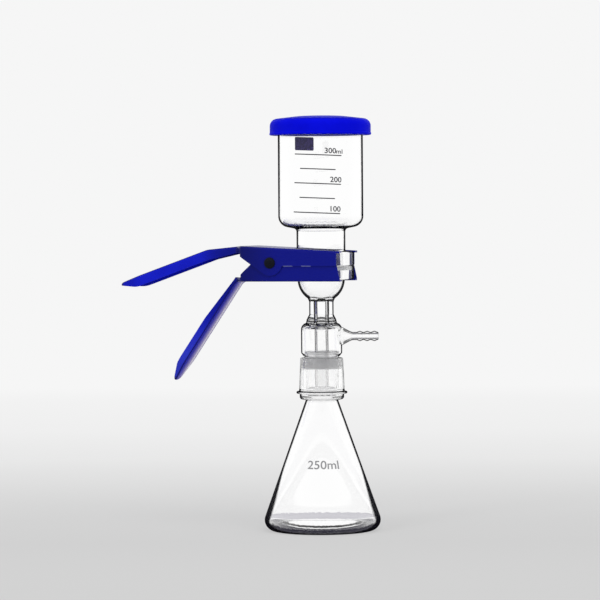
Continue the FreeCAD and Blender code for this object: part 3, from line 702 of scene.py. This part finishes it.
def add_cup_prints(ink, panel_ink):
    """Graduation up to 300 ml: long strokes with numbers, short strokes between, and a plain panel."""
    skin = skin_of("funnel")

    def stamp(name, height, mesh, material):
        add_print(name, print_on(skin, CUP_R, CUP_PRINT_TURN, height, PRINT_SLOPE, mesh), material)

    def label(name, words, height, size, widen, right):
        stamp(name, height, text_mesh(name, words, size, widen, BOLD, right, LABEL_RISE), ink)

    top_volume, top_height, _ = CUP_STROKES[0]
    thick = STROKE_THICK / 2
    for volume, height, shift in CUP_STROKES:
        numbered = volume % 100 == 0
        half = (LONG_STROKE if numbered else SHORT_STROKE) / 2
        name = "stroke_%d" % volume
        bar = bar_mesh(name, shift - half, shift + half, -thick, thick, thick * STROKE_CORNER)
        stamp(name, height, bar, ink)
        if numbered:
            room = UNIT_WIDTH - UNIT_OUT if volume == top_volume else 0
            right = shift + half + LABEL_OUT - room
            label("number_%d" % volume, str(volume), height, DIGIT_SIZE, DIGIT_WIDEN, right)
    right = LONG_STROKE / 2 + LABEL_OUT + UNIT_OUT
    label("unit_ml", "ml", top_height, UNIT_SIZE, UNIT_WIDEN, right)
    panel = bar_mesh("panel", PANEL_LEFT, PANEL_RIGHT, PANEL_LOW, PANEL_HIGH, PANEL_CORNER)
    stamp("panel", top_height, panel, panel_ink)


def add_flask_print(ink):
    """The flask's nominal volume."""
    name = "flask_number"
    radius = FLASK_CONE_R - FLASK_CONE_SLOPE * FLASK_PRINT_Z
    words = text_mesh(name, "250ml", FLASK_DIGIT_SIZE, FLASK_WIDEN, FLASK_BOLD, FLASK_PRINT_RIGHT, 0)
    mesh = print_on(skin_of("flask"), radius, FLASK_PRINT_TURN, FLASK_PRINT_Z, 0, words)
    add_print(name, mesh, ink)


# ---- Scene ----

def put_camera():
    """Camera in front of the unit, aimed a little towards the clamp's handles."""
    turn = math.radians(VIEW_DEG)
    right = Vector((math.cos(turn), math.sin(turn), 0))
    towards = Vector((-math.sin(turn), math.cos(turn), 0))
    place = -towards * VIEW_DISTANCE + Vector((0, 0, VIEW_HEIGHT))
    aim = -right * AIM_LEFT + Vector((0, 0, AIM_HEIGHT))
    data = bpy.data.cameras.new("camera")
    data.sensor_width = SENSOR
    data.lens = SENSOR * VIEW_DISTANCE / VIEW_WIDTH
    data.clip_start = 0.1
    data.clip_end = 60.0
    camera = link(bpy.data.objects.new("camera", data))
    roll = Matrix.Rotation(math.radians(ROLL_DEG), 4, "Z")
    facing = (aim - place).to_track_quat("-Z", "Y").to_matrix().to_4x4()
    camera.matrix_world = Matrix.Translation(place) @ facing @ roll
    bpy.context.scene.camera = camera


def turned_to_view(tree, vector):
    """Parts of a vector as the main view has them: to the right, away from it, and up."""
    inputs = {"Vector": vector, "Angle": -math.radians(VIEW_DEG)}
    node = tree.add("ShaderNodeVectorRotate", inputs, rotation_type="Z_AXIS")
    return tree.add("ShaderNodeSeparateXYZ", {"Vector": node.outputs[0]}).outputs


def make_world():
    """White studio that lights the unit evenly.

    Gloss sees it dimmer in front and brighter overhead, and glass sees it dimmer overhead."""
    world = bpy.data.worlds.new("studio")
    bpy.context.scene.world = world
    tree = Tree(world)
    _, depth, height = turned_to_view(tree, tree.add("ShaderNodeTexCoord").outputs["Generated"])
    behind = tree.smooth(depth, -0.3, 0.3, 0.65, 1.0)
    overhead = tree.smooth(height, 0.45, 0.85, 1.0, 0.4)
    path = tree.add("ShaderNodeLightPath").outputs
    mirrored = tree.both(behind, tree.smooth(height, 0.1, 0.6, 1.0, 1.5))
    lit = tree.mix(path["Is Glossy Ray"], STUDIO_LIGHT, mirrored)
    through = tree.mix(path["Is Transmission Ray"], lit, overhead)
    back = tree.mix(path["Is Camera Ray"], through, colour(BACKDROP, BACKDROP, BACKDROP))
    background = tree.add("ShaderNodeBackground", {"Color": back, "Strength": 1.0})
    tree.add("ShaderNodeOutputWorld", {"Surface": background.outputs[0]})


def ring_share(tree, out, ring):
    """1 inside a ring of the floor, fading at its edges."""
    start, full, fade, end = ring
    return tree.both(tree.smooth(out, start, full), tree.smooth(out, fade, end, 1.0, 0.0))


def make_floor():
    """Pale sweep: grey where the unit stands, paler behind it.

    Glass sees a white sheet instead, dimmer where it looks straight down, with two rings of painted
    shade on it."""
    material, tree = new_material("sweep")
    spot = tree.object_spot()
    depth = turned_to_view(tree, spot)[1]
    nearest = FLOOR_TONES[0][0]
    reach = FLOOR_TONES[-1][0] - nearest
    along = tree.math("DIVIDE", tree.math("SUBTRACT", depth, nearest), reach)
    stops = [((at - nearest) / reach, colour(level, level, level)) for at, level in FLOOR_TONES]
    tone = tree.ramp(along, stops)
    shader = tree.add("ShaderNodeBsdfDiffuse", {"Color": tone, "Roughness": 0.6})
    path = tree.add("ShaderNodeLightPath").outputs
    facing = tree.add("ShaderNodeLayerWeight", {"Blend": 0.5}).outputs["Facing"]
    sheet = tree.smooth(facing, 0.1, 0.4, 0.4, 1.0)
    out, _ = from_axis(tree, spot)
    # Painted shade on the floor that only glass sees: a grey ring, and a shadow under the flask's heel
    grey_shade_share = tree.both(ring_share(tree, out, GREY_SHADE_RING), GREY_SHADE_STRENGTH)
    sheet = tree.mix(grey_shade_share, sheet, colour(176, 174, 184))
    sheet = tree.mix(ring_share(tree, out, HEEL_SHADOW_RING), sheet, HEEL_SHADOW_TONE)
    seen = tree.mix(path["Is Transmission Ray"], tone, sheet)
    glow = tree.add("ShaderNodeEmission", {"Color": seen, "Strength": 1.0})
    direct = tree.both(path["Is Camera Ray"], tree.smooth(out, 0.25, 0.9, 0.7, 1.0))
    indirect = tree.either(tree.both(path["Is Glossy Ray"], 0.6), path["Is Transmission Ray"])
    shaders = {0: tree.either(direct, indirect), 1: shader.outputs[0], 2: glow.outputs[0]}
    surface = tree.add("ShaderNodeMixShader", shaders)
    tree.add("ShaderNodeOutputMaterial", {"Surface": surface.outputs[0]})
    corner = FLOOR_SIZE / 2
    rows = [[(x, y, 0) for x in (-corner, corner)] for y in (-corner, corner)]
    mesh = flat_mesh("floor", rows)
    mesh.materials.append(material)
    floor = link(bpy.data.objects.new("floor", mesh))
    floor.location = (0, 0, FOOT_Z - FLOOR_DROP)


def add_lamp(name, azimuth_deg, height, distance, size, power):
    """Softbox that faces the unit, and that nothing mirrors or shows through glass.

    The azimuth is measured from the camera, positive to its right."""
    turn = math.radians(VIEW_DEG + azimuth_deg)
    place = Vector((math.sin(turn), -math.cos(turn), 0)) * distance + Vector((0, 0, height))
    data = bpy.data.lights.new(name, "AREA")
    data.shape = "RECTANGLE"
    data.size, data.size_y = size
    data.energy = power
    lamp = link(bpy.data.objects.new(name, data))
    aim = Vector((0, 0, AIM_LAMPS_Z))
    facing = (aim - place).to_track_quat("-Z", "Y").to_matrix().to_4x4()
    lamp.matrix_world = Matrix.Translation(place) @ facing
    lamp.visible_glossy = False
    lamp.visible_transmission = False


put_camera()
make_world()
make_floor()
add_lamp("left_box", -38.0, 0.75, 1.3, (0.35, 0.5), 3.0)
add_lamp("low_box", 30.0, 0.03, 1.2, (0.8, 0.3), 4.0)
add_lamp("top_box", 20.0, 1.6, 0.9, (0.9, 0.9), 6.0)

ground_low = MOUTH_Z - GROUND_BELOW
glass_flask = clear_glass(
    "flask_glass", FLASK_LINES, ground_low, MOUTH_Z + MM, SOCKET_GROUND_R,
    plain_r=FLASK_FLOOR_R, plain_z=FLASK_FLOOR_Z,
)
glass_base = clear_glass(
    "base_glass", BASE_LINES, ground_low, MOUTH_Z + CONE_GROUND_ABOVE, CONE_GROUND_R,
    inner_r=STEM_REACH_R,
)
glass_funnel = clear_glass(
    "funnel_glass", FUNNEL_LINES, FLANGE_MEET_Z - MM, FLANGE_MEET_Z + 0.3 * MM, FLANGE_GROUND_R,
)
anodised = blue_anodised()


def joint_gap(point):
    """The cone stands a hair off its socket, and the tops of the base and disc off the funnel."""
    radius = math.hypot(point.x, point.y)
    joint_r = JOINT_MOUTH_R + JOINT_TAPER * (point.z - MOUTH_Z)
    if abs(radius - joint_r) < JOINT_FACE and point.z < MOUTH_Z + MM:
        share = (radius - JOINT_GAP) / radius
        return Vector((point.x * share, point.y * share, point.z))
    if abs(point.z - FLANGE_MEET_Z) < ON_FACE:
        return point - Vector((0, 0, FLANGE_LIFT))
    return point


def off_face(point):
    """The funnel's ground face stands a hair above the base's, and its rim below the cap's seat."""
    if abs(point.z - FLANGE_MEET_Z) < ON_FACE:
        return point + Vector((0, 0, FLANGE_LIFT))
    if abs(point.z - CUP_TOP_Z) < ON_FACE:
        return point - Vector((0, 0, RIM_DROP))
    return point


smooth_copy("flask", glass_flask)
smooth_copy("glass_base", glass_base, joint_gap)
smooth_copy("funnel", glass_funnel, off_face)
smooth_copy("frit_disc", sintered_glass(), joint_gap)
smooth_copy("lid", blue_plastic())
smooth_copy("clamp_upper", anodised)
smooth_copy("clamp_lower", anodised)
smooth_copy("pivot_pin", dark_steel())
smooth_copy(SPRING, spring_steel())
print_ink = enamel("print_ink", colour(40, 40, 46), colour(62, 62, 68))
add_cup_prints(print_ink, enamel("panel_ink", colour(32, 26, 62), colour(58, 50, 98)))
add_flask_print(enamel("flask_ink", colour(132, 132, 134), colour(152, 152, 154)))

bpy.context.scene.view_settings.view_transform = "Standard"
